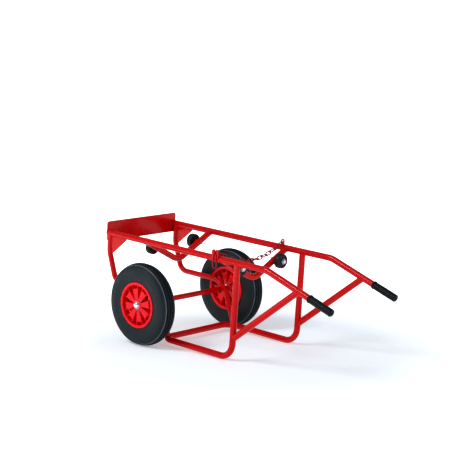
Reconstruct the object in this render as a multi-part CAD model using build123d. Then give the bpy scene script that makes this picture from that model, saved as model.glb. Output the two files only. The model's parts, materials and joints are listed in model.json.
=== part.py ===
from build123d import *
import os
from math import asinh, atan2, cos, cosh, degrees, hypot, pi, radians, sin, sinh, sqrt, tan

# Two-wheeled drum trolley, millimetres.  It is drawn squared up: U runs along the level rails
# towards the handles, V runs across to the right-hand wheel, W is up, and the wheel axle is the
# origin.  settle() then tips it on to its wheels and the rear corners of its stand, where +X is
# towards the handles, +Z is up and the floor is Z = 0.

# ---- driving dimensions ----
TILT = 2.56            # nose-up attitude when the trolley stands on the floor, degrees
SIDE = 228.0           # centre plane of each rail, leg, stay and brace, either side of the middle

RAIL_OD = 30.0
RAIL_WALL = 2.0
RAIL_W = 285.6         # rail centre line above the axle
RAIL_FRONT = -345.0
HANDLE_U = 707.8       # where the rail bends down into the handle shaft
HANDLE_DROP = 17.28    # degrees
HANDLE_LENGTH = 403.0
HANDLE_BEND = 110.0

STAY_OD = 26.9
STAY_WALL = 2.3
STAY_KNEE = (-331.5, 190.0)      # where the upright post starts to lean back
STAY_TOE = (-281.0, 48.0)
STAY_REAR = (21.5, 48.0)
STAY_FOOT = (99.5, -150.0)
STAY_BENDS = (100.0, 55.0, 120.0)

LEG_TOP = 529.0
LEG_FOOT = 520.0
CROSS_U = 68.0         # cross tube at the front of the stand
LEG_BEND = 72.0
CORNER_BEND = 55.0
BRACE_LOW = (523.0, -71.0)
BRACE_HIGH = (899.0, 226.0)

PLATE = 5.0            # thickness of the toe plate and the gussets
TOE_TOP = 339.6
TOE_BOTTOM = 242.0
TOE_HALF = 235.0
GUSSET_ALONG = 102.0
GUSSET_DOWN = 86.0
GUSSET_NIB = 6.0

CRADLE_U = (-79.0, 428.0)
CRADLE_DROP = 121.0    # virtual corner of the V below the rail centre line
CRADLE_BEND = 75.0

ROLLER_R = 35.0
ROLLER_WIDTH = 32.0
ROLLER_V = 142.0
ROLLER_OFFSET = 40.0   # roller centre plane to cradle centre line
SLEEVE_OD = 20.0
BOLT_D = 12.0
HEX_FLATS = 19.0
HEX_HIGH = 8.0
WASHER_T = 2.5
WASHER_R = 13.0
BOSS_R = 10.0          # tapped boss welded through each cradle, it also spaces the roller off
BOSS_PROUD = 0.8
BOSS_BOTTOM = 3.0      # closed end of the boss, behind the tip of the bolt
ROLLER_LIP = 1.5       # the roller's hub stands this far beyond its tread on each face
ROLLER_HUB_R = 14.0
ROLLER_EDGE = 4.0
RUNNING = 0.05         # radial clearance of every running fit
PLAY = 0.5             # end play beside every turning part

WHEEL_R = 200.0
WHEEL_V = 308.0        # wheel centre plane
TYRE_HALF = 45.5
BEAD_R = 101.6
INNER_TUBE_WALL = 2.5
FLANGE_R = 111.0
FLANGE_AT = 38.0
FLANGE_T = 3.5
BARREL_R = 97.0
WEB = 3.0
PETALS = 8
PETAL_FACE = 36.0
PETAL_R = 80.0         # each petal ends here, beyond it is a pocket between two ribs
POCKET_FLOOR = 18.0
RIB = 2.4
GAP_ANGLE = 19.0
GAP_INNER = 29.0
FIRST_GAP = 54.5       # the gap that holds the valve, degrees from straight up towards the handles
VALVE_AT = 14.0        # valve axis from the wheel's middle plane
VALVE_STEM_R = 3.4
VALVE_CAP_R = 4.6
VALVE_HOLE_R = 5.0
PEEP_AT = 53.0         # round hole in the pad that closes the gap opposite the valve
PEEP_R = 7.0
PAD_REACH = (42.0, 67.0)
HUB_R = 23.0
HUB_HALF = 35.0
BUSH_OD = 30.0
AXLE_D = 20.0
AXLE_TUBE_OD = 26.0
AXLE_IN_CAP = 7.0
THRUST_R = 19.0
CAP_R = 17.0
CAP_HIGH = 13.0

GRIP_OD = 35.0
GRIP_LENGTH = 138.0
GRIP_END = 4.0
GRIP_COLLAR = 1.8      # height of the collar above the sleeve

CHAIN_U = 402.0
LINK_WIRE = 5.0
LINK_WIDTH = 16.5      # centre line to centre line
LINK_PITCH = 31.0
LINK_SLACK = 1.2
CHAIN_LINKS = 15
TAIL_SETTLE = 1.9      # crown of the first tail link below the middle of the end link
CHAIN_W = 312.5
KEEPER_IN = 241.0
KEEPER_T = 5.0
KEEPER_WIDE = 40.0
KEEPER_TOP = 329.0
LUG_T = 5.0
LUG_HOLE = 6.5
LUG_GAP = 1.6          # link to the near side of the lug's hole
LUG_R = 12.0

tilt = radians(TILT)
rail_r = RAIL_OD / 2
stay_r = STAY_OD / 2
sleeve_r = SLEEVE_OD / 2
bolt_r = BOLT_D / 2
axle_r = AXLE_D / 2

# The foot runs at the height that lets the rear bends of the stand just touch the floor.
leg_turn = atan2(RAIL_W, LEG_TOP - LEG_FOOT)
bend_centre = LEG_FOOT - LEG_BEND * tan(leg_turn / 2)
foot_w = (LEG_BEND + rail_r - WHEEL_R + bend_centre * sin(tilt)) / cos(tilt) - LEG_BEND

nodes = {}


def centre_line(points, radii):
    """Straight runs joined by tangent arcs."""
    if not radii:
        return Line(*points)
    return FilletPolyline(*points, radius=list(radii))


def swept(path, *radii):
    """A round bar along a path, or a tube when a bore radius is given as well."""
    section = Circle(radii[0])
    if len(radii) > 1:
        section -= Circle(radii[1])
    return sweep(Plane(origin=path @ 0, z_dir=path % 0) * section, path)


def tube(points, radii, outer, wall):
    """The hollow tube, and the solid bar of the same outline that its neighbours are coped to."""
    path = centre_line(points, radii)
    return swept(path, outer / 2, outer / 2 - wall), swept(path, outer / 2)


def disc(outer, inner, start, end):
    """A round boss or ring about the local Z axis from one height to the other."""
    ring = Pos(0, 0, start) * Cylinder(outer, end - start, align=(Align.CENTER, Align.CENTER, Align.MIN))
    if inner:
        ring -= Pos(0, 0, start - 1) * Cylinder(
            inner, end - start + 2, align=(Align.CENTER, Align.CENTER, Align.MIN))
    return ring


def hexagon(start, end):
    """A hexagon bar about the local Z axis, its long edges slightly chamfered."""
    blank = extrude(RegularPolygon(HEX_FLATS / 2, 6, major_radius=False), end - start)
    corner = HEX_FLATS / 2 / cos(pi / 6)
    turned = Cylinder(corner, end - start, align=(Align.CENTER, Align.CENTER, Align.MIN))
    turned = chamfer(turned.edges().filter_by(GeomType.CIRCLE), 1.0)
    return Pos(0, 0, start) * (blank & turned)


# ---- frame tubes ----
handle = radians(HANDLE_DROP)
handle_end = (HANDLE_U + HANDLE_LENGTH * cos(handle), RAIL_W - HANDLE_LENGTH * sin(handle))
tube_end = (handle_end[0] - GRIP_END * cos(handle), handle_end[1] + GRIP_END * sin(handle))
bars = {}
for side, name in ((-1, "left"), (1, "right")):
    v = side * SIDE
    rail, rail_bar = tube(
        [(RAIL_FRONT, v, RAIL_W), (HANDLE_U, v, RAIL_W), (tube_end[0], v, tube_end[1])],
        [HANDLE_BEND], RAIL_OD, RAIL_WALL)
    stay, stay_bar = tube(
        [(STAY_KNEE[0], v, RAIL_W)] + [(u, v, w) for u, w in (STAY_KNEE, STAY_TOE, STAY_REAR, STAY_FOOT)],
        STAY_BENDS, STAY_OD, STAY_WALL)
    bars["rail_" + name] = rail_bar
    bars["stay_" + name] = stay_bar
    closing = Location(Plane(origin=(RAIL_FRONT, v, RAIL_W), x_dir=(0, 1, 0), z_dir=(1, 0, 0)))
    nodes["rail_" + name] = rail + closing * disc(rail_r, 0, 0, RAIL_WALL)
    nodes["front_stay_" + name] = stay - rail_bar

stand, stand_bar = tube(
    [(LEG_TOP, -SIDE, RAIL_W), (LEG_FOOT, -SIDE, foot_w), (CROSS_U, -SIDE, foot_w),
     (CROSS_U, SIDE, foot_w), (LEG_FOOT, SIDE, foot_w), (LEG_TOP, SIDE, RAIL_W)],
    [LEG_BEND, CORNER_BEND, CORNER_BEND, LEG_BEND], RAIL_OD, RAIL_WALL)
nodes["stand_frame"] = stand - bars["rail_left"] - bars["rail_right"]

for side, name in ((-1, "left"), (1, "right")):
    v = side * SIDE
    nodes["front_stay_" + name] -= stand_bar
    brace, brace_bar = tube([(BRACE_LOW[0], v, BRACE_LOW[1]), (BRACE_HIGH[0], v, BRACE_HIGH[1])],
                            [], RAIL_OD, RAIL_WALL)
    nodes["brace_" + name] = brace - bars["rail_" + name] - stand_bar

    # Gusset in the corner between the rail and the upright post.
    corner_u = STAY_KNEE[0] + stay_r
    corner_w = RAIL_W - rail_r
    outline = Polyline(
        (corner_u - 2, corner_w + 2), (corner_u + GUSSET_ALONG, corner_w + 2),
        (corner_u + GUSSET_ALONG, corner_w - GUSSET_NIB), (corner_u + GUSSET_NIB, corner_w - GUSSET_DOWN),
        (corner_u - 2, corner_w - GUSSET_DOWN), close=True)
    plate = extrude(Plane.XZ.offset(-v - PLATE / 2) * make_face(outline), PLATE)
    nodes["gusset_" + name] = plate - bars["rail_" + name] - bars["stay_" + name]

# ---- toe plate across the front ----
toe = Box(2 * TOE_HALF, TOE_TOP - TOE_BOTTOM, PLATE)
toe = fillet(toe.edges().filter_by(Axis.Z), 12.0)
toe = Location(Plane(origin=(RAIL_FRONT - PLATE / 2, 0, (TOE_TOP + TOE_BOTTOM) / 2),
                     x_dir=(0, 1, 0), z_dir=(1, 0, 0))) * toe
nodes["toe_plate"] = toe

# ---- V cradles, each with two rollers on bolts that run along the trolley ----
roller_w = RAIL_W - CRADLE_DROP * (SIDE - ROLLER_V) / SIDE
roller_near = ROLLER_OFFSET - ROLLER_WIDTH / 2
roller_far = ROLLER_OFFSET + ROLLER_WIDTH / 2
washer_at = roller_far + PLAY
head_at = washer_at + WASHER_T
boss_end = -rail_r - BOSS_PROUD
bolt_tip = boss_end + BOSS_BOTTOM
bolts = []
washers = []
bosses = []
rollers = {}
for place, u in zip(("front", "rear"), CRADLE_U):
    cradle, _ = tube([(u, -SIDE, RAIL_W), (u, 0, RAIL_W - CRADLE_DROP), (u, SIDE, RAIL_W)],
                     [CRADLE_BEND], RAIL_OD, RAIL_WALL)
    cradle = cradle - bars["rail_left"] - bars["rail_right"]
    outward = -1 if place == "front" else 1
    for side, name in ((-1, "left"), (1, "right")):
        # Local Z points from the cradle to its roller.
        seat = Location(Plane(origin=(u, side * ROLLER_V, roller_w), x_dir=(0, 1, 0), z_dir=(outward, 0, 0)))
        cradle -= seat * Cylinder(BOSS_R, RAIL_OD + 10)
        bolts.append(seat * (disc(bolt_r, 0, bolt_tip, head_at) + hexagon(head_at, head_at + HEX_HIGH)))
        washers.append(seat * disc(WASHER_R, bolt_r, washer_at, head_at))
        boss = disc(BOSS_R, 0, boss_end, roller_near - PLAY)
        bosses.append(seat * (boss - disc(bolt_r, 0, bolt_tip, roller_near)))
        sleeve = disc(sleeve_r, bolt_r + RUNNING, roller_near, roller_far)
        body = disc(ROLLER_R, 0, roller_near + ROLLER_LIP, roller_far - ROLLER_LIP)
        body = fillet(body.edges().filter_by(GeomType.CIRCLE), ROLLER_EDGE)
        body += disc(ROLLER_HUB_R, 0, roller_near, roller_far)
        body -= disc(sleeve_r, 0, 0, roller_far + 1)
        rollers[f"{place}_{name}"] = u + outward * ROLLER_OFFSET
        nodes[f"roller_{place}_{name}"] = seat * body
        nodes[f"roller_sleeve_{place}_{name}"] = seat * sleeve
    nodes[f"cradle_{place}"] = cradle
nodes["roller_bolts"] = Compound(children=bolts)
nodes["roller_washers"] = Compound(children=washers)
nodes["roller_bosses"] = Compound(children=bosses)

# ---- axle ----
across = Plane(origin=(0, 0, 0), x_dir=(1, 0, 0), z_dir=(0, 1, 0))
hub_in = WHEEL_V - HUB_HALF
hub_out = WHEEL_V + HUB_HALF
tube_half = hub_in - PLAY - WASHER_T
axle_tube = Location(across) * disc(AXLE_TUBE_OD / 2, axle_r, -tube_half, tube_half)
nodes["axle_tube"] = axle_tube - bars["stay_left"] - bars["stay_right"]
axle_half = hub_out + PLAY + WASHER_T + AXLE_IN_CAP
nodes["axle_shaft"] = Location(across) * disc(axle_r, 0, -axle_half, axle_half)


# ---- wheels, drawn about local Z with the outer side at +Z ----
def tyre_section():
    """The pneumatic tyre and its inner tube in section, radius along X and width along Y."""
    groove = 2.5
    depth = 3.5
    crown = 179.0
    tread_half = 38.0
    bead_half = 20.0
    skin = 7.0
    outer = make_face([
        ThreePointArc((crown, -tread_half), (WHEEL_R, 0), (crown, tread_half)),
        ThreePointArc((crown, tread_half), (152.0, TYRE_HALF), (FLANGE_R, FLANGE_AT)),
        Line((FLANGE_R, FLANGE_AT), (BEAD_R, FLANGE_AT)),
        Line((BEAD_R, FLANGE_AT), (BEAD_R, -FLANGE_AT)),
        Line((BEAD_R, -FLANGE_AT), (FLANGE_R, -FLANGE_AT)),
        ThreePointArc((FLANGE_R, -FLANGE_AT), (152.0, -TYRE_HALF), (crown, -tread_half)),
    ])
    hollow = make_face([
        ThreePointArc((crown - skin, -tread_half + 4), (WHEEL_R - 12, 0), (crown - skin, tread_half - 4)),
        ThreePointArc((crown - skin, tread_half - 4), (152.0, TYRE_HALF - skin), (FLANGE_R + 2, 28.0)),
        Line((FLANGE_R + 2, 28.0), (BEAD_R + 1, bead_half)),
        Line((BEAD_R + 1, bead_half), (BEAD_R + 1, -bead_half)),
        Line((BEAD_R + 1, -bead_half), (FLANGE_R + 2, -28.0)),
        ThreePointArc((FLANGE_R + 2, -28.0), (152.0, -TYRE_HALF + skin), (crown - skin, -tread_half + 4)),
    ])
    cavity = offset(hollow, amount=-INNER_TUBE_WALL)
    mouth = Pos(BEAD_R, 0) * Rectangle(6, 2 * bead_half)
    section_r = TYRE_HALF - 0.5
    for at in (-20.0, -7.0, 7.0, 20.0):
        fall = section_r - sqrt(section_r ** 2 - at ** 2)
        outer -= Pos(WHEEL_R - fall, at) * Rectangle(2 * depth, groove)
    return outer - hollow - mouth, hollow - cavity


def wedge(inner, outer, half_angle, low, high):
    """A block between two radii about local Z, centred on local X."""
    reach = outer / cos(half_angle) + 1
    spread = reach * tan(half_angle)
    outline = Polyline((0, 0), (reach, spread), (reach, -spread), close=True)
    block = Pos(0, 0, low) * extrude(make_face(outline), high - low)
    return block & disc(outer, inner, low, high)


def rim_half():
    """One moulded rim half from the wheel's middle plane to its outer flange."""
    half = disc(BEAD_R, BARREL_R, 0, FLANGE_AT)
    half += disc(FLANGE_R, BARREL_R, FLANGE_AT, FLANGE_AT + FLANGE_T)
    half = fillet(half.edges().filter_by(GeomType.CIRCLE).sort_by(Axis.Z)[-2:], 1.2)
    half += disc(BARREL_R + 1, 0, 0, WEB)
    petal = disc(BARREL_R + 1, 0, 0, PETAL_FACE)
    gap_half = radians(GAP_ANGLE / 2)
    step = 360 / PETALS
    pocket_half = radians(step / 2) - gap_half - RIB / BARREL_R
    pocket = wedge(PETAL_R, BARREL_R, pocket_half, POCKET_FLOOR, PETAL_FACE + 1)
    outline = Polyline(
        (GAP_INNER, 2.2), (BARREL_R, BARREL_R * tan(gap_half)), (BARREL_R, -BARREL_R * tan(gap_half)),
        (GAP_INNER, -2.2), close=True)
    gap = Pos(0, 0, WEB) * extrude(make_face(outline), PETAL_FACE) & disc(BARREL_R, 0, 0, PETAL_FACE + 1)
    for i in range(PETALS):
        petal -= Rot(0, 0, step * i) * gap
        petal -= Rot(0, 0, step * (i + 0.5)) * pocket
    petal += Rot(0, 0, 180) * wedge(*PAD_REACH, gap_half, WEB, PETAL_FACE)
    half += petal
    half += disc(HUB_R, 0, 0, HUB_HALF)
    half -= disc(THRUST_R + 1.5, 0, HUB_HALF, PETAL_FACE + 1)
    half -= disc(BUSH_OD / 2, 0, -5, HUB_HALF + 5)
    return half


tyre_face, tube_face = tyre_section()
tyre = revolve(Plane.XZ * tyre_face, Axis.Z)
inner_tube = revolve(Plane.XZ * tube_face, Axis.Z)
rim = rim_half()
peep = Pos(-PEEP_AT, 0, 0) * disc(PEEP_R, 0, -1, PETAL_FACE + 1)
valve_axis = Location(Plane(origin=(0, 0, VALVE_AT), x_dir=(0, 0, 1), z_dir=(1, 0, 0)))
valve_way = valve_axis * disc(VALVE_HOLE_R, 0, PETAL_R, BEAD_R + 5)
valve_root = BEAD_R + 0.8
valve = disc(VALVE_STEM_R, 0, 68.0, valve_root)
valve += disc(VALVE_CAP_R, 0, 66.0, 76.0)
valve += disc(VALVE_HOLE_R - 0.1, 0, 92.0, valve_root)
valve = valve_axis * valve
outer_half = rim - peep - valve_way
inner_half = mirror(rim - peep, Plane.XY)
bush = disc(BUSH_OD / 2, axle_r + RUNNING, -HUB_HALF, HUB_HALF)
thrust_in = []
thrust_out = []
for side, name in ((-1, "left"), (1, "right")):
    # Local Z outwards, local X turned so that the valve gap stands at its own clock angle.
    gap = radians(FIRST_GAP)
    stance = Location(Plane(origin=(0, side * WHEEL_V, 0), x_dir=(sin(gap), 0, cos(gap)), z_dir=(0, side, 0)))
    nodes["tyre_" + name] = stance * tyre
    nodes["inner_tube_" + name] = stance * inner_tube
    nodes["rim_outer_" + name] = stance * outer_half
    nodes["rim_inner_" + name] = stance * inner_half
    nodes["tube_valve_" + name] = stance * valve
    nodes["wheel_bush_" + name] = stance * bush
    thrust_in.append(stance * disc(THRUST_R, axle_r, -HUB_HALF - PLAY - WASHER_T, -HUB_HALF - PLAY))
    thrust_out.append(stance * disc(THRUST_R, axle_r, HUB_HALF + PLAY, HUB_HALF + PLAY + WASHER_T))
    cap_at = HUB_HALF + PLAY + WASHER_T
    dome = disc(CAP_R, 0, cap_at, cap_at + CAP_HIGH)
    dome = fillet(dome.edges().filter_by(GeomType.CIRCLE).sort_by(Axis.Z)[-1:], 11.0)
    nodes["hub_cap_" + name] = stance * (dome - disc(axle_r, 0, cap_at - 1, cap_at + AXLE_IN_CAP))
nodes["thrust_washers_inner"] = Compound(children=thrust_in)
nodes["thrust_washers_outer"] = Compound(children=thrust_out)


# ---- handle grips ----
def grip():
    """Moulded sleeve with a collar and shallow rings; local Z runs out to its closed end."""
    tube_r = rail_r
    body = disc(GRIP_OD / 2, 0, 0, GRIP_LENGTH)
    body = fillet(body.edges().filter_by(GeomType.CIRCLE).sort_by(Axis.Z)[-1:], 5.0)
    collar = disc(GRIP_OD / 2 + GRIP_COLLAR, 0, 2.0, 9.0)
    collar = fillet(collar.edges().filter_by(GeomType.CIRCLE), 1.5)
    body += collar
    for i in range(5):
        body -= disc(GRIP_OD / 2 + 1, GRIP_OD / 2 - 0.9, 32.0 + 17.0 * i, 35.0 + 17.0 * i)
    body -= disc(tube_r, 0, -1, GRIP_LENGTH - GRIP_END)
    return body - disc(2.5, 0, GRIP_LENGTH - GRIP_END - 1, GRIP_LENGTH + 1)


for side, name in ((-1, "left"), (1, "right")):
    start = (handle_end[0] - GRIP_LENGTH * cos(handle), side * SIDE,
             handle_end[1] + GRIP_LENGTH * sin(handle))
    nodes["grip_" + name] = Location(Plane(origin=start, x_dir=(0, 1, 0),
                                           z_dir=(cos(handle), 0, -sin(handle)))) * grip()


# ---- chain ----
def link():
    """One welded link, long in local X and flat in the XY plane, from contact to contact."""
    straight = LINK_PITCH + LINK_WIRE + LINK_SLACK - LINK_WIDTH
    path = SlotCenterToCenter(straight, LINK_WIDTH).face().outer_wire()
    return sweep(Plane(origin=path @ 0, z_dir=path % 0) * Circle(LINK_WIRE / 2), path)


def link_between(start, end, flat_along):
    """A link whose contact points are start and end, lying flat towards the given direction."""
    a = Vector(*start)
    b = Vector(*end)
    axis = (b - a).normalized()
    normal = axis.cross(Vector(*flat_along)).normalized()
    return Location(Plane(origin=(a + b) * 0.5, x_dir=axis, z_dir=normal)) * link()


def catenary(half_span, length):
    """The parameter of the catenary with this length between two level ends."""
    low, high = 10.0, 5000.0
    for _ in range(80):
        middle = (low + high) / 2
        if 2 * middle * sinh(half_span / middle) > length:
            low = middle
        else:
            high = middle
    return high


# Near end: one link lies on edge through the keeper's slot, and two more hang outside the rail.
keeper_out = KEEPER_IN + KEEPER_T
tail_v = keeper_out + 0.3 + LINK_WIRE / 2
contact = (LINK_WIRE + LINK_SLACK) / 2
end_v = tail_v + contact
chain_v = end_v - LINK_PITCH
nodes["chain_end_link"] = link_between((CHAIN_U, -chain_v, CHAIN_W), (CHAIN_U, -end_v, CHAIN_W), (0, 0, 1))
slot_w = CHAIN_W - LINK_WIDTH / 2 - LINK_WIRE / 2 - 0.5
keeper = Box(KEEPER_WIDE, KEEPER_TOP - RAIL_W, KEEPER_T)
keeper = fillet(keeper.edges().filter_by(Axis.Z).sort_by(Axis.Y)[-2:], 9.0)
keeper -= Pos(0, (slot_w + 3.25 + KEEPER_TOP) / 2 - (KEEPER_TOP + RAIL_W) / 2, 0) * Box(
    6.5, KEEPER_TOP - slot_w - 3.25, 20)
keeper -= Pos(0, slot_w + 3.25 - (KEEPER_TOP + RAIL_W) / 2, 0) * Cylinder(3.25, 20)
keeper = Location(Plane(origin=(CHAIN_U, -KEEPER_IN - KEEPER_T / 2, (KEEPER_TOP + RAIL_W) / 2),
                        x_dir=(1, 0, 0), z_dir=(0, -1, 0))) * keeper
nodes["chain_keeper"] = keeper - bars["rail_left"]

# Tail: the first link hangs flat beside the rail, the second is turned towards the handles.
crown_in = LINK_WIDTH / 2 - 2 * contact
crown_drop = sqrt((LINK_WIDTH / 2) ** 2 - crown_in ** 2)
tail_pivot = (CHAIN_U, -tail_v, CHAIN_W - crown_drop)
tail_links = []
top = crown_drop - TAIL_SETTLE - contact
for flat_along in ((1, 0, 0), (1, 1, 0)):
    bottom = top - LINK_PITCH
    tail_links.append(link_between((0, 0, top), (0, 0, bottom), flat_along))
    top = bottom
tail = Compound(children=tail_links)

# The rest hangs as a catenary between the end link and a lug on the right-hand rail.
arc = CHAIN_LINKS * LINK_PITCH
shape_a = catenary(chain_v, arc)
sag_points = []
for i in range(CHAIN_LINKS + 1):
    along = -arc / 2 + i * LINK_PITCH
    v = shape_a * asinh(along / shape_a)
    sag_points.append((0, v, shape_a * (cosh(v / shape_a) - cosh(chain_v / shape_a))))
garland_links = []
for i in range(CHAIN_LINKS):
    start, end = sag_points[i], sag_points[i + 1]
    across_chain = (0, start[2] - end[2], end[1] - start[1])
    garland_links.append(link_between(start, end, (1, 0, 0) if i % 2 == 0 else across_chain))
garland = Compound(children=garland_links)

climb = Vector(*sag_points[-1]) - Vector(*sag_points[-2])
climb = climb.normalized()
hole = Vector(CHAIN_U, chain_v, CHAIN_W) + climb * (contact + LUG_HOLE - LINK_WIRE / 2 - LUG_GAP)
lug = Cylinder(LUG_R, LUG_T)
lug += Pos((SIDE - hole.Y) / 2, (RAIL_W - hole.Z) / 2, 0) * Rot(
    0, 0, degrees(atan2(RAIL_W - hole.Z, SIDE - hole.Y))) * Box(
    hypot(SIDE - hole.Y, RAIL_W - hole.Z), 2 * LUG_R, LUG_T)
lug -= Cylinder(LUG_HOLE, 20)
lug = Location(Plane(origin=(CHAIN_U, hole.Y, hole.Z), x_dir=(0, 1, 0), z_dir=(1, 0, 0))) * lug
nodes["chain_lug"] = lug - bars["rail_right"]

# ---- settle on the floor ----
tip = Rot(0, TILT, 0)
lift = Pos(0, 0, WHEEL_R)


def rest_point(u, v, w):
    """Where a point of the squared-up trolley is once it stands on the floor."""
    c, s = cos(tilt), sin(tilt)
    return (u * c + w * s + shift_x, v, -u * s + w * c + WHEEL_R)


placed = {name: lift * tip * shape for name, shape in nodes.items()}
front_x = placed["toe_plate"].bounding_box().min.X
rear_x = placed["grip_left"].bounding_box().max.X
shift_x = -(front_x + rear_x) / 2
placed = {name: Pos(shift_x, 0, 0) * shape for name, shape in placed.items()}

# The chain hangs plumb, so it isn't tipped with the frame.
swing_at = rest_point(CHAIN_U, 0, CHAIN_W)
tail_at = rest_point(*tail_pivot)
placed["chain_garland"] = Pos(*swing_at) * garland
placed["chain_tail"] = Pos(*tail_at) * tail

axle_at = rest_point(0, 0, 0)
roller_at = {}
for key, u in rollers.items():
    v = -ROLLER_V if key.endswith("left") else ROLLER_V
    roller_at[key] = rest_point(u, v, roller_w)
along_rails = (cos(tilt), 0.0, -sin(tilt))

os.makedirs("parts", exist_ok=True)
for name, shape in sorted(placed.items()):
    export_step(shape, f"parts/{name}.step")

print(f"foot centre line {foot_w:.1f}, shift {shift_x:.2f}, length {rear_x - front_x:.1f}")
print(f"axle {axle_at}, chain {swing_at}, tail {tail_at}, sag {-min(p[2] for p in sag_points):.1f}")
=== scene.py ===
import json
from math import cos, pi, radians, sin, sqrt

import bpy
from mathutils import Matrix, Vector


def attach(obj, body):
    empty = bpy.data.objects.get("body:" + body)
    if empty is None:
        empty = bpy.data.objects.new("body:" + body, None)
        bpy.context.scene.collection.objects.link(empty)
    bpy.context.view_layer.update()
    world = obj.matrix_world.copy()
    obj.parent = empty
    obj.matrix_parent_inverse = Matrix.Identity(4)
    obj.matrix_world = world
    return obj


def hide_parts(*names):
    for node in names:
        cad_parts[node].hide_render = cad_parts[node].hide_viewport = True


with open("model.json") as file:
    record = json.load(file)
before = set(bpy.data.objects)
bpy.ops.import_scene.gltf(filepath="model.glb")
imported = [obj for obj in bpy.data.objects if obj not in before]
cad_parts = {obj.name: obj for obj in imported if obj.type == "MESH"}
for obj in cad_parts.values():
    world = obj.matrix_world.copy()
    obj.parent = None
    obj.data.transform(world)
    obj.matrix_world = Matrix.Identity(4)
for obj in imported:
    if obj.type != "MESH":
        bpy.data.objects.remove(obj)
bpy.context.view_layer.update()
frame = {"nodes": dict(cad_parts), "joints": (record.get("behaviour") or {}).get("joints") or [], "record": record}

MM = 0.001

# ---- the squared-up trolley: U along the rails, V across, W up, from the middle of the axle ----
joints = {j["name"]: j for j in frame["joints"]}
hubs = {side: Vector(joints[f"wheel_{side}_spin"]["pos_m"]) for side in ("left", "right")}
AXLE = (hubs["left"] + hubs["right"]) / 2
ALONG = Vector(joints["roller_front_left_spin"]["axis"]).normalized()
ACROSS = Vector((0, 1, 0))
UPWARD = ALONG.cross(ACROSS)

# Tube centre lines and radii as in the CAD model, in millimetres.
SIDE = 228.0
RAIL_R = 15.0
STAY_R = 13.45
RAIL_W = 285.6
HANDLE_U = 707.8
HANDLE_DROP = radians(17.28)
STAY_POST_U = -331.5
STAY_REAR = (21.5, 48.0)
STAY_FOOT = (99.5, -150.0)
LEG_TOP = (529.0, RAIL_W)
LEG_FOOT = (520.0, -165.0)
BRACE_LOW = (523.0, -71.0)
BRACE_HIGH = (899.0, 226.0)
CRADLE_U = (-79.0, 428.0)
CRADLE_DROP = 121.0
GUSSET_ALONG = 102.0
GUSSET_DOWN = 86.0
GUSSET_HALF = 2.5


def at(u, v, w):
    """A point of the squared-up trolley, millimetres in, metres in the row frame out."""
    return AXLE + (ALONG * u + ACROSS * v + UPWARD * w) * MM


def heading(u, v, w):
    """A direction of the squared-up trolley in the row frame."""
    return (ALONG * u + ACROSS * v + UPWARD * w).normalized()


# ---- materials ----
def socket(shader, name, value):
    shader.inputs[name].default_value = value


def shade(tree, kind, **settings):
    made = tree.nodes.new(kind)
    for key, value in settings.items():
        if key in made.inputs:
            made.inputs[key].default_value = value
        else:
            setattr(made, key, value)
    return made


def noise(tree, coords, scale, detail=4.0, rough=0.55, stretch=None):
    source = coords
    if stretch:
        mapping = shade(tree, "ShaderNodeMapping")
        mapping.inputs["Scale"].default_value = stretch
        tree.links.new(coords, mapping.inputs["Vector"])
        source = mapping.outputs["Vector"]
    made = shade(tree, "ShaderNodeTexNoise", Scale=scale, Detail=detail, Roughness=rough)
    tree.links.new(source, made.inputs["Vector"])
    return made.outputs["Fac"]


def remap(tree, value, low, high, to_low, to_high):
    made = shade(tree, "ShaderNodeMapRange")
    made.inputs["From Min"].default_value = low
    made.inputs["From Max"].default_value = high
    made.inputs["To Min"].default_value = to_low
    made.inputs["To Max"].default_value = to_high
    tree.links.new(value, made.inputs["Value"])
    return made.outputs["Result"]


def mix(tree, factor, first, second):
    """Mixes two colours; each is a colour tuple or an output."""
    made = tree.nodes.new("ShaderNodeMix")
    made.data_type = "RGBA"
    tree.links.new(factor, made.inputs[0])
    for end, given in ((6, first), (7, second)):
        if isinstance(given, tuple):
            made.inputs[end].default_value = (*given, 1.0)
        else:
            tree.links.new(given, made.inputs[end])
    return made.outputs[2]


def scaled(colour, k):
    return tuple(min(1.0, c * k) for c in colour)


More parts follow.
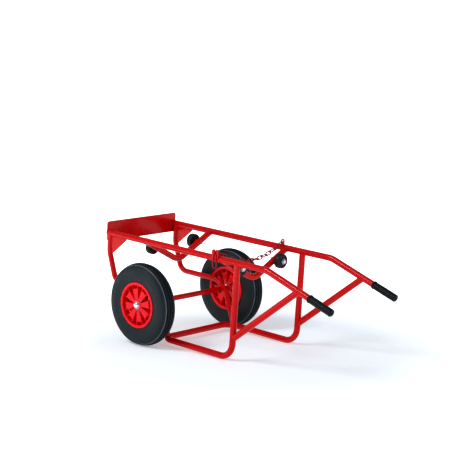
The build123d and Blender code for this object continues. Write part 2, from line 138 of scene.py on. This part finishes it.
def surface(name, colour, rough, metallic=0.0, vary=0.12, patch=9.0, spread=0.08,
            grain=500.0, bump=0.15, depth=0.0002, stretch=None, coat=0.0, coat_rough=0.08,
            dust=None, dust_top=0.06, specular=0.5, scuff=None, scuff_scale=60.0, scuff_at=0.66):
    """A procedural finish: patchy colour, uneven gloss, fine relief, and dust low down if asked."""
    made = bpy.data.materials.new(name)
    made.use_nodes = True
    tree = made.node_tree
    shader = tree.nodes["Principled BSDF"]
    coords = shade(tree, "ShaderNodeTexCoord").outputs["Object"]
    patches = noise(tree, coords, patch, detail=5.0)
    dark = scaled(colour, 1 - vary)
    light = scaled(colour, 1 + vary)
    tone = mix(tree, remap(tree, patches, 0.3, 0.7, 0.0, 1.0), dark, light)
    if scuff:
        marks = noise(tree, coords, scuff_scale, detail=8.0, rough=0.7, stretch=stretch)
        tone = mix(tree, remap(tree, marks, scuff_at, scuff_at + 0.06, 0.0, 0.8), tone, scuff)
    if dust:
        split = shade(tree, "ShaderNodeSeparateXYZ")
        tree.links.new(coords, split.inputs["Vector"])
        low = remap(tree, split.outputs["Z"], 0.0, dust_top, 1.0, 0.0)
        grime = shade(tree, "ShaderNodeMath", operation="MULTIPLY")
        tree.links.new(low, grime.inputs[0])
        specks = noise(tree, coords, 40.0, detail=6.0)
        tree.links.new(remap(tree, specks, 0.35, 0.7, 0.0, 0.55), grime.inputs[1])
        tone = mix(tree, grime.outputs[0], tone, dust)
    tree.links.new(tone, shader.inputs["Base Color"])
    gloss = noise(tree, coords, patch * 4, detail=6.0, stretch=stretch)
    tree.links.new(remap(tree, gloss, 0.3, 0.7, rough - spread, rough + spread), shader.inputs["Roughness"])
    relief = shade(tree, "ShaderNodeBump", Strength=bump, Distance=depth)
    tree.links.new(noise(tree, coords, grain, detail=3.0, stretch=stretch), relief.inputs["Height"])
    tree.links.new(relief.outputs["Normal"], shader.inputs["Normal"])
    socket(shader, "Metallic", metallic)
    socket(shader, "Specular IOR Level", specular)
    if coat:
        socket(shader, "Coat Weight", coat)
        socket(shader, "Coat Roughness", coat_rough)
    return made


RED = (0.60, 0.0022, 0.0035)
DUST = (0.32, 0.30, 0.28)
finishes = {
    "frame_paint": surface("powder_coat", RED, 0.28, vary=0.07, patch=5.0, spread=0.05, grain=650.0,
                           bump=0.10, depth=0.0003, specular=0.22, coat=0.25, coat_rough=0.10,
                           dust=DUST, dust_top=0.012),
    "chain_paint": surface("chain_paint", (0.40, 0.012, 0.016), 0.42, vary=0.25, patch=70.0, spread=0.1,
                           grain=900.0, bump=0.2, scuff=(0.30, 0.24, 0.22), scuff_scale=160.0, scuff_at=0.70),
    "rim_plastic": surface("rim_plastic", (0.82, 0.006, 0.018), 0.36, vary=0.05, patch=12.0, spread=0.06,
                           grain=1400.0, bump=0.06, depth=0.0001, specular=0.35),
    "tyre_rubber": surface("tyre_rubber", (0.019, 0.028, 0.031), 0.60, vary=0.16, patch=14.0, spread=0.08,
                           grain=1500.0, bump=0.25, depth=0.0002, dust=(0.14, 0.13, 0.12), dust_top=0.03),
    "tube_rubber": surface("tube_rubber", (0.02, 0.02, 0.02), 0.55, grain=900.0),
    "roller_rubber": surface("roller_rubber", (0.011, 0.012, 0.013), 0.48, vary=0.2, patch=30.0, spread=0.1,
                             grain=1200.0, bump=0.2, scuff=(0.05, 0.05, 0.05), scuff_scale=220.0),
    "grip_rubber": surface("grip_rubber", (0.0065, 0.011, 0.0105), 0.42, vary=0.18, patch=25.0, spread=0.08,
                           specular=0.3, grain=1600.0, bump=0.22),
    "zinc_steel": surface("zinc_steel", (0.60, 0.61, 0.62), 0.32, metallic=1.0, vary=0.10, patch=60.0,
                          spread=0.10, grain=700.0, bump=0.08, stretch=(1.0, 8.0, 8.0)),
    "cap_chrome": surface("cap_chrome", (0.83, 0.83, 0.84), 0.10, metallic=1.0, vary=0.03, patch=50.0,
                          spread=0.04, grain=900.0, bump=0.03),
    "valve_brass": surface("valve_brass", (0.66, 0.60, 0.46), 0.28, metallic=1.0, vary=0.08, patch=90.0),
    "bush_nylon": surface("bush_nylon", (0.62, 0.60, 0.54), 0.45, vary=0.05, patch=40.0),
}

slot_of = {s["node"]: s["material_slot"] for s in frame["record"]["subparts"]}
for node_name, node in frame["nodes"].items():
    node.data.materials.clear()
    node.data.materials.append(finishes[slot_of[node_name]])

# ---- mesh helpers ----
def finish_piece(obj, slot_name, body, replaced=(), sharp=35.0):
    """Gives a new piece its material, shading and body, and hides the CAD nodes it stands in for."""
    obj.data.materials.append(finishes[slot_name])
    obj.data.shade_smooth()
    obj.data.set_sharp_from_angle(angle=radians(sharp))
    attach(obj, body)
    if replaced:
        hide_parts(*replaced)
    return obj


def new_object(name, points, faces):
    mesh = bpy.data.meshes.new(name)
    mesh.from_pydata([tuple(p) for p in points], [], faces)
    mesh.validate()
    obj = bpy.data.objects.new(name, mesh)
    bpy.context.scene.collection.objects.link(obj)
    return obj


def stance(origin, axis, start):
    """A matrix that takes local Z to axis and local X as near to start as it goes."""
    z = Vector(axis).normalized()
    x = Vector(start)
    x = (x - z * x.dot(z)).normalized()
    turn = Matrix((x, z.cross(x), z)).transposed().to_4x4()
    return Matrix.Translation(origin) @ turn


class Build:
    """Collects the points and faces of one piece from several closed solids."""

    def __init__(self):
        self.points = []
        self.faces = []

    def lathe(self, profile, steps, where, change=None):
        """Turns a closed profile of (height, radius), in mm, about local Z; points on the axis are shared."""
        rings = []
        for height, radius in profile:
            if radius < 1e-6:
                rings.append([len(self.points)] * steps)
                self.points.append(where @ Vector((0, 0, height * MM)))
                continue
            ring = []
            for k in range(steps):
                angle = 2 * pi * k / steps
                h, r = change(k, angle, height, radius) if change else (height, radius)
                ring.append(len(self.points))
                self.points.append(where @ Vector((r * MM * cos(angle), r * MM * sin(angle), h * MM)))
            rings.append(ring)
        for a, b in zip(rings, rings[1:] + rings[:1]):
            if a[0] == a[-1] and b[0] == b[-1]:
                continue
            for k in range(steps):
                n = (k + 1) % steps
                face = []
                for i in (a[k], a[n], b[n], b[k]):
                    if i not in face:
                        face.append(i)
                self.faces.append(tuple(face))

    def object(self, name):
        return new_object(name, self.points, self.faces)


# ---- welds ----
BEAD_R = 2.1
RIPPLE = 2.8


def bead_along(build, path, outward, closed):
    """A rippled weld bead, half sunk along a path; outward gives the way each ring faces."""
    rings = []
    sides = 8
    count = len(path)
    travelled = 0.0
    for i, point in enumerate(path):
        before = path[i - 1] if i or closed else path[0]
        after = path[(i + 1) % count] if i + 1 < count or closed else path[-1]
        run = (after - before).normalized()
        if i:
            travelled += (point - path[i - 1]).length / MM
        up = outward[i] - run * outward[i].dot(run)
        up.normalize()
        flat = run.cross(up)
        swell = 1.0 + 0.16 * abs(sin(pi * travelled / RIPPLE))
        if not closed and i in (0, count - 1):
            swell *= 0.35
        ring = []
        for k in range(sides):
            angle = 2 * pi * k / sides
            offset = flat * cos(angle) * 1.15 + up * sin(angle) * 0.85
            ring.append(len(build.points))
            build.points.append(point + offset * BEAD_R * swell * MM)
        rings.append(ring)
    pairs = list(zip(rings, rings[1:])) + ([(rings[-1], rings[0])] if closed else [])
    for a, b in pairs:
        for k in range(sides):
            n = (k + 1) % sides
            build.faces.append((a[k], b[k], b[n], a[n]))
    if not closed:
        build.faces.append(tuple(rings[0]))
        build.faces.append(tuple(reversed(rings[-1])))


def cope(branch_from, branch_dir, branch_r, main_point, main_dir, main_r, steps=132):
    """The closed line where a branch tube meets the outside of a main tube, and the way the bead faces."""
    first = branch_dir.cross(main_dir).normalized()
    second = branch_dir.cross(first)
    across = branch_dir - main_dir * branch_dir.dot(main_dir)
    path = []
    outward = []
    for k in range(steps):
        angle = 2 * pi * k / steps
        spoke = first * cos(angle) + second * sin(angle)
        start = branch_from + spoke * branch_r * MM
        gap = start - main_point
        gap -= main_dir * gap.dot(main_dir)
        a = across.dot(across)
        b = 2 * gap.dot(across)
        c = gap.dot(gap) - (main_r * MM) ** 2
        inside = max(0.0, b * b - 4 * a * c)
        point = start + branch_dir * ((-b - sqrt(inside)) / (2 * a))
        off = point - main_point
        off -= main_dir * off.dot(main_dir)
        path.append(point)
        outward.append((off.normalized() + spoke).normalized())
    return path, outward


def straight_bead(build, start, end, facing):
    count = max(8, int((end - start).length / MM / 0.7))
    path = [start.lerp(end, i / (count - 1)) for i in range(count)]
    bead_along(build, path, [facing] * count, False)


def add_welds():
    """Beads wherever one frame piece is coped or laid on another."""
    level = heading(1, 0, 0)
    foot_w = LEG_FOOT[1]
    for side, name in ((-1, "left"), (1, "right")):
        v = side * SIDE
        welds = Build()
        rail = at(0, v, RAIL_W)
        leg_way = heading(LEG_TOP[0] - LEG_FOOT[0], 0, LEG_TOP[1] - foot_w)
        brace_way = heading(BRACE_HIGH[0] - BRACE_LOW[0], 0, BRACE_HIGH[1] - BRACE_LOW[1])
        handle_way = heading(cos(HANDLE_DROP), 0, -sin(HANDLE_DROP))
        stay_way = heading(STAY_FOOT[0] - STAY_REAR[0], 0, STAY_FOOT[1] - STAY_REAR[1])
        middle = at((BRACE_LOW[0] + BRACE_HIGH[0]) / 2, v, (BRACE_LOW[1] + BRACE_HIGH[1]) / 2)
        joints_here = [
            (at(*LEG_TOP[:1], v, 150.0), leg_way, RAIL_R, rail, level, RAIL_R),
            (at(STAY_POST_U, v, 230.0), heading(0, 0, 1), STAY_R, rail, level, RAIL_R),
            (middle, brace_way, RAIL_R, at(HANDLE_U, v, RAIL_W), handle_way, RAIL_R),
            (middle, -brace_way, RAIL_R, at(LEG_TOP[0], v, LEG_TOP[1]), leg_way, RAIL_R),
            (at(60.0, v, -50.0), stay_way, STAY_R, at(STAY_FOOT[0], v - side * 5.0, foot_w),
             heading(1, side * 0.42, 0), RAIL_R),
        ]
        for u in CRADLE_U:
            start = at(u, side * 120.0, RAIL_W - CRADLE_DROP * (SIDE - 120.0) / SIDE)
            joints_here.append((start, heading(0, side * SIDE, CRADLE_DROP), RAIL_R, rail, level, RAIL_R))
        for given in joints_here:
            path, outward = cope(*given)
            bead_along(welds, path, outward, True)
        corner_u = STAY_POST_U + STAY_R
        corner_w = RAIL_W - RAIL_R
        for face in (-1, 1):
            edge = v + face * (GUSSET_HALF + 0.6)
            out = heading(0, face, -1)
            straight_bead(welds, at(corner_u + 6, edge, corner_w + 0.2),
                          at(corner_u + GUSSET_ALONG - 4, edge, corner_w + 0.2), out)
            straight_bead(welds, at(corner_u - 0.2, edge, corner_w - 6),
                          at(corner_u - 0.2, edge, corner_w - GUSSET_DOWN + 20), heading(1, face, 0))
        welds_obj = welds.object(f"weld_beads_{name}")
        finish_piece(welds_obj, "frame_paint", "frame", sharp=60.0)


# ---- wheels ----
# Lighter, glossier ring on the tyre shoulder: a painted highlight standing for the light caught along the ridge
# edge.
ridge_highlight_rubber = surface("tyre_ridge_painted_highlight", (0.12, 0.17, 0.20), 0.36, vary=0.25, patch=30.0, grain=1500.0)
# Darker tread: painted shade on the same rubber as the sidewalls, with real dust lighter near the floor.
tread_shade_and_dust_rubber = surface("tyre_tread_shade_and_dust", (0.010, 0.014, 0.015), 0.62, vary=0.25, patch=40.0, grain=900.0,
                       bump=0.35, dust=(0.12, 0.11, 0.10), dust_top=0.03)
RIDGE_HIGHLIGHT_FROM_R = 190.0
RIDGE_HIGHLIGHT_HALF = 30.0
SHADED_TREAD_FROM_R = 180.0
SHADED_TREAD_HALF = 25.5
ZIGZAGS = 60
TYRE_STEPS = 240
GROOVES = (20.0, 7.0)
SECTION_R = 44.9
SECTION_AT = 155.0


def section(axial):
    """Radius of the round tyre section at a distance from its middle plane."""
    return SECTION_AT + sqrt(SECTION_R ** 2 - axial ** 2)


def tyre_profile():
    """The outer half of the tyre section from the bead to the crown, as (axial, radius)."""
    side = [(37.8, 103.0), (38.0, 111.2), (38.6, 113.2), (39.8, 115.0), (41.0, 117.4), (41.3, 119.8),
            (40.8, 121.8), (41.2, 124.5), (42.2, 129.5), (43.3, 136.0), (44.0, 142.0), (44.4, 146.8),
            (45.1, 147.6), (45.1, 149.0), (44.6, 149.8), (44.9, 156.0), (44.7, 160.5), (44.0, 165.0),
            (43.0, 169.2), (41.6, 173.0), (40.2, 175.6), (40.7, 176.8), (39.8, 178.0), (38.2, 178.9),
            (37.0, 180.6), (37.6, 182.2), (36.4, 183.2), (34.4, 183.8), (32.6, 185.8), (31.0, 187.4),
            (30.0, 188.0), (29.7, 190.4), (28.6, 192.2), (26.8, 192.9), (25.2, 192.1), (24.6, 190.6)]
    tread = []
    axial = 23.6
    while axial > 0.4:
        if all(abs(axial - groove) > 2.6 for groove in GROOVES):
            tread.append((axial, section(axial) - 0.2))
        axial -= 1.6
    for groove in GROOVES:
        for shift, depth in ((2.3, 0.2), (1.4, 4.2), (-1.4, 4.2), (-2.3, 0.2)):
            tread.append((groove + shift, section(groove + shift) - depth))
    tread.sort(key=lambda p: -p[0])
    return side + tread


def tread_wave(step, angle, axial, radius):
    """Shifts the grooves sideways in a zigzag and cuts short notches into the shoulder ribs."""
    reach = abs(axial)
    if reach > 24.8:
        if 30.5 < reach < 34.0 and step % 6 in (0, 1):
            return axial, radius - 1.2
        return axial, radius
    if reach < 2.2 or radius < 180.0:
        return axial, radius
    phase = (step / TYRE_STEPS * ZIGZAGS) % 1.0
    shift = 1.7 * (1 - 4 * abs(phase - 0.5))
    near = min(abs(reach - g) for g in GROOVES)
    weight = max(0.0, 1 - max(0.0, near - 2.4) / 3.0)
    return axial + shift * weight, radius


def add_tyre(side, where):
    half = tyre_profile()
    profile = half + [(-a, r) for a, r in reversed(half)]
    tyre = Build()
    tyre.lathe(profile, TYRE_STEPS, where, tread_wave)
    obj = tyre.object(f"tyre_detail_{side}")
    finish_piece(obj, "tyre_rubber", f"wheel_{side}", [f"tyre_{side}"], sharp=50.0)
    obj.data.materials.append(ridge_highlight_rubber)
    obj.data.materials.append(tread_shade_and_dust_rubber)
    inward = where.inverted()
    for face in obj.data.polygons:
        spot = inward @ face.center / MM
        radius = sqrt(spot.x ** 2 + spot.y ** 2)
        # Shoulder ring faces take the painted highlight material.
        if radius > RIDGE_HIGHLIGHT_FROM_R and SHADED_TREAD_HALF < abs(spot.z) < RIDGE_HIGHLIGHT_HALF:
            face.material_index = 1
        # Tread faces take the painted shade material.
        elif radius > SHADED_TREAD_FROM_R and abs(spot.z) <= SHADED_TREAD_HALF:
            face.material_index = 2


def add_cap(side, where):
    """Domed push-on cap with a rolled edge; local Z is outwards from the wheel's middle plane."""
    base = 38.0
    cap = Build()
    cap.lathe([(base, 0.0), (base, 16.4), (base + 0.6, 17.0), (base + 1.9, 17.0), (base + 2.4, 16.3),
               (base + 3.2, 16.0), (base + 5.0, 15.8), (base + 7.4, 14.9), (base + 9.4, 13.1),
               (base + 11.0, 10.4), (base + 12.2, 6.8), (base + 12.8, 3.2), (base + 13.0, 0.0)], 56, where)
    finish_piece(cap.object(f"hub_cap_dome_{side}"), "cap_chrome", "frame", [f"hub_cap_{side}"], sharp=60.0)


def add_wheels():
    for side, outward in (("left", -1), ("right", 1)):
        where = stance(hubs[side], (0, outward, 0), (0, 0, 1))
        add_tyre(side, where)
        add_cap(side, where)


# ---- rollers and their bolts ----
ROLLER_FROM_CRADLE = 40.0
HEX_HALF = 9.5
HEAD_AT = 59.0


def roller_seats():
    """Each roller's name and the matrix at its cradle centre line, local Z towards the roller."""
    found = []
    for place, facing in (("front", -1), ("rear", 1)):
        for side in ("left", "right"):
            centre = Vector(joints[f"roller_{place}_{side}_spin"]["pos_m"])
            seat = centre - ALONG * facing * ROLLER_FROM_CRADLE * MM
            found.append((f"{place}_{side}", stance(seat, ALONG * facing, (0, 0, 1))))
    return found


def hexed(step, angle, height, radius):
    """Pulls a turned head in to its six flats."""
    sector = angle % (pi / 3) - pi / 6
    return height, min(radius, HEX_HALF / cos(sector))


def add_fasteners():
    bolts = Build()
    for name, seat in roller_seats():
        bolts.lathe([(-15.0, 0.0), (-15.0, 5.0), (-14.2, 5.95), (HEAD_AT, 5.95), (HEAD_AT, 0.0)], 32, seat)
        head = [(0.0, 0.0), (0.0, 9.0), (0.3, 9.2), (0.4, 11.2), (6.5, 11.2), (7.6, 9.4), (7.9, 8.7),
                (7.9, 6.0), (7.5, 5.6), (7.5, 0.0)]
        bolts.lathe([(HEAD_AT + h, radius) for h, radius in head], 72, seat, hexed)
    finish_piece(bolts.object("roller_bolts_hex"), "zinc_steel", "frame", ["roller_bolts"])


def add_rollers():
    """Solid rubber rollers with rounded treads, recessed faces and a moulding line."""
    half = [(15.9, 10.1), (15.9, 13.4), (15.3, 14.0), (13.6, 14.6), (13.0, 16.5), (13.0, 24.5), (13.8, 26.4),
            (14.6, 27.2), (14.6, 31.0), (14.0, 33.0), (12.6, 34.3), (10.4, 34.85), (4.0, 34.95), (0.9, 34.95),
            (0.5, 34.6)]
    profile = half + [(-a, r) for a, r in reversed(half)]
    for name, seat in roller_seats():
        where = seat @ Matrix.Translation((0, 0, ROLLER_FROM_CRADLE * MM))
        roller = Build()
        roller.lathe(profile, 96, where)
        obj = roller.object(f"roller_tread_{name}")
        finish_piece(obj, "roller_rubber", f"roller_{name}_body", [f"roller_{name}"], sharp=40.0)


# ---- handle grips ----
GRIP_LONG = 138.0
FLUTE_FROM = 18.0
FLUTE_TO = 122.0
FLUTE_DEEP = 0.55
FLUTES = 18
HANDLE_LENGTH = 403.0


def grip_flutes(step, angle, height, radius):
    """Shallow lengthwise flutes that fade out at both ends of the hand's length."""
    if radius < 15.5 or height < FLUTE_FROM or height > FLUTE_TO:
        return height, radius
    fade = min(1.0, (height - FLUTE_FROM) / 8.0, (FLUTE_TO - height) / 8.0)
    return height, radius - FLUTE_DEEP * fade * (0.5 + 0.5 * cos(FLUTES * angle)) ** 3


def add_grips():
    profile = [(0.0, 15.1), (0.2, 16.8), (0.8, 17.4), (1.6, 17.7), (2.6, 18.7), (4.0, 19.2), (7.0, 19.2),
               (8.4, 18.7), (9.4, 17.7), (11.0, 17.3), (14.0, 17.2), (18.0, 17.2)]
    height = 20.0
    while height < GRIP_LONG - 12.0:
        profile.append((height, 17.2 + 0.28 * sin(pi * (height - 18.0) / 108.0)))
        height += 4.0
    profile += [(GRIP_LONG - back, radius) for back, radius in (
        (11.0, 17.2), (8.0, 17.4), (5.0, 17.3), (2.8, 16.5), (1.2, 15.0), (0.3, 13.0), (0.0, 10.0),
        (0.0, 6.4), (0.6, 5.8), (1.6, 5.4), (3.2, 5.0), (3.6, 0.0), (4.4, 15.1))]
    for side, name in ((-1, "left"), (1, "right")):
        out = heading(cos(HANDLE_DROP), 0, -sin(HANDLE_DROP))
        end = at(HANDLE_U + HANDLE_LENGTH * cos(HANDLE_DROP), side * SIDE,
                 RAIL_W - HANDLE_LENGTH * sin(HANDLE_DROP))
        where = stance(end - out * GRIP_LONG * MM, out, (0, 0, 1))
        grip = Build()
        grip.lathe(profile, 108, where, grip_flutes)
        finish_piece(grip.object(f"grip_sleeve_{name}"), "grip_rubber", "frame", [f"grip_{name}"], sharp=50.0)


add_welds()
add_wheels()
add_fasteners()
add_rollers()
add_grips()

# ---- camera and light ----
CAMERA_FROM_AXLE = (4.8754, -4.9034, 1.4259)
CAMERA_YAW = radians(43.32)
CAMERA_PITCH = radians(-8.855)
CAMERA_ROLL = radians(0.738)
CAMERA_LENS = 113.6
SKY_COLOUR = (0.86, 0.93, 1.0)
HAZE = 1.2
SKY = 0.34
HORIZON = 0.2
FLOOR_GLOW = 0.26
FAR_GLOW = 0.85
GLOW_FROM = 0.7
GLOW_TO = 2.2
FLOOR_HALF = 400.0


def add_camera():
    camera = bpy.data.objects.new("camera", bpy.data.cameras.new("camera"))
    bpy.context.scene.collection.objects.link(camera)
    camera.data.lens = CAMERA_LENS
    camera.data.sensor_width = 36.0
    turn = (Matrix.Rotation(CAMERA_YAW, 4, "Z") @ Matrix.Rotation(pi / 2 + CAMERA_PITCH, 4, "X")
            @ Matrix.Rotation(CAMERA_ROLL, 4, "Z"))
    camera.matrix_world = Matrix.Translation(AXLE + Vector(CAMERA_FROM_AXLE)) @ turn
    camera.data.clip_end = 1500.0
    bpy.context.scene.camera = camera


def add_area(name, place, target, size, power, colour=(1.0, 1.0, 1.0)):
    lamp = bpy.data.lights.new(name, "AREA")
    lamp.shape = "DISK"
    lamp.size = size
    lamp.energy = power
    lamp.color = colour
    holder = bpy.data.objects.new(name, lamp)
    holder.location = place
    holder.rotation_mode = "QUATERNION"
    holder.rotation_quaternion = (Vector(target) - Vector(place)).to_track_quat("-Z", "Y")
    bpy.context.scene.collection.objects.link(holder)


def add_floor():
    mesh = bpy.data.meshes.new("floor")
    half = FLOOR_HALF
    corners = [(-half, -half, 0), (half, -half, 0), (half, half, 0), (-half, half, 0)]
    mesh.from_pydata(corners, [], [(0, 1, 2, 3)])
    floor = bpy.data.objects.new("floor", mesh)
    bpy.context.scene.collection.objects.link(floor)
    finish = bpy.data.materials.new("floor_white")
    finish.use_nodes = True
    shader = finish.node_tree.nodes["Principled BSDF"]
    socket(shader, "Base Color", (0.76, 0.81, 0.85, 1.0))
    socket(shader, "Roughness", 0.9)
    socket(shader, "Specular IOR Level", 0.1)
    socket(shader, "Emission Color", (1.0, 1.0, 1.0, 1.0))
    # The floor glows though it is no lamp: the glow is low near the trolley, which paints shade on the floor
    # around it, and rises further out to a white backdrop.
    tree = finish.node_tree
    away = shade(tree, "ShaderNodeVectorMath", operation="LENGTH")
    tree.links.new(shade(tree, "ShaderNodeTexCoord").outputs["Object"], away.inputs[0])
    glow = remap(tree, away.outputs["Value"], GLOW_FROM, GLOW_TO, FLOOR_GLOW, FAR_GLOW)
    tree.links.new(glow, shader.inputs["Emission Strength"])
    mesh.materials.append(finish)


def add_light():
    world = bpy.data.worlds.new("studio")
    bpy.context.scene.world = world
    world.use_nodes = True
    background = world.node_tree.nodes["Background"]
    background.inputs["Color"].default_value = (*SKY_COLOUR, 1.0)
    tree = world.node_tree
    split = shade(tree, "ShaderNodeSeparateXYZ")
    tree.links.new(shade(tree, "ShaderNodeTexCoord").outputs["Generated"], split.inputs["Vector"])
    brightness = remap(tree, split.outputs["Z"], 0.02, HORIZON, HAZE, SKY)
    tree.links.new(brightness, background.inputs["Strength"])
    add_area("key", (-1.6, -3.2, 4.2), (0.0, 0.0, 0.3), 2.0, 80.0)
    add_area("side", (4.5, 1.0, 2.6), (0.0, 0.0, 0.3), 1.6, 14.0)


add_camera()
add_light()
add_floor()
bpy.context.scene.view_settings.view_transform = "Standard"
bpy.context.scene.view_settings.look = "High Contrast"
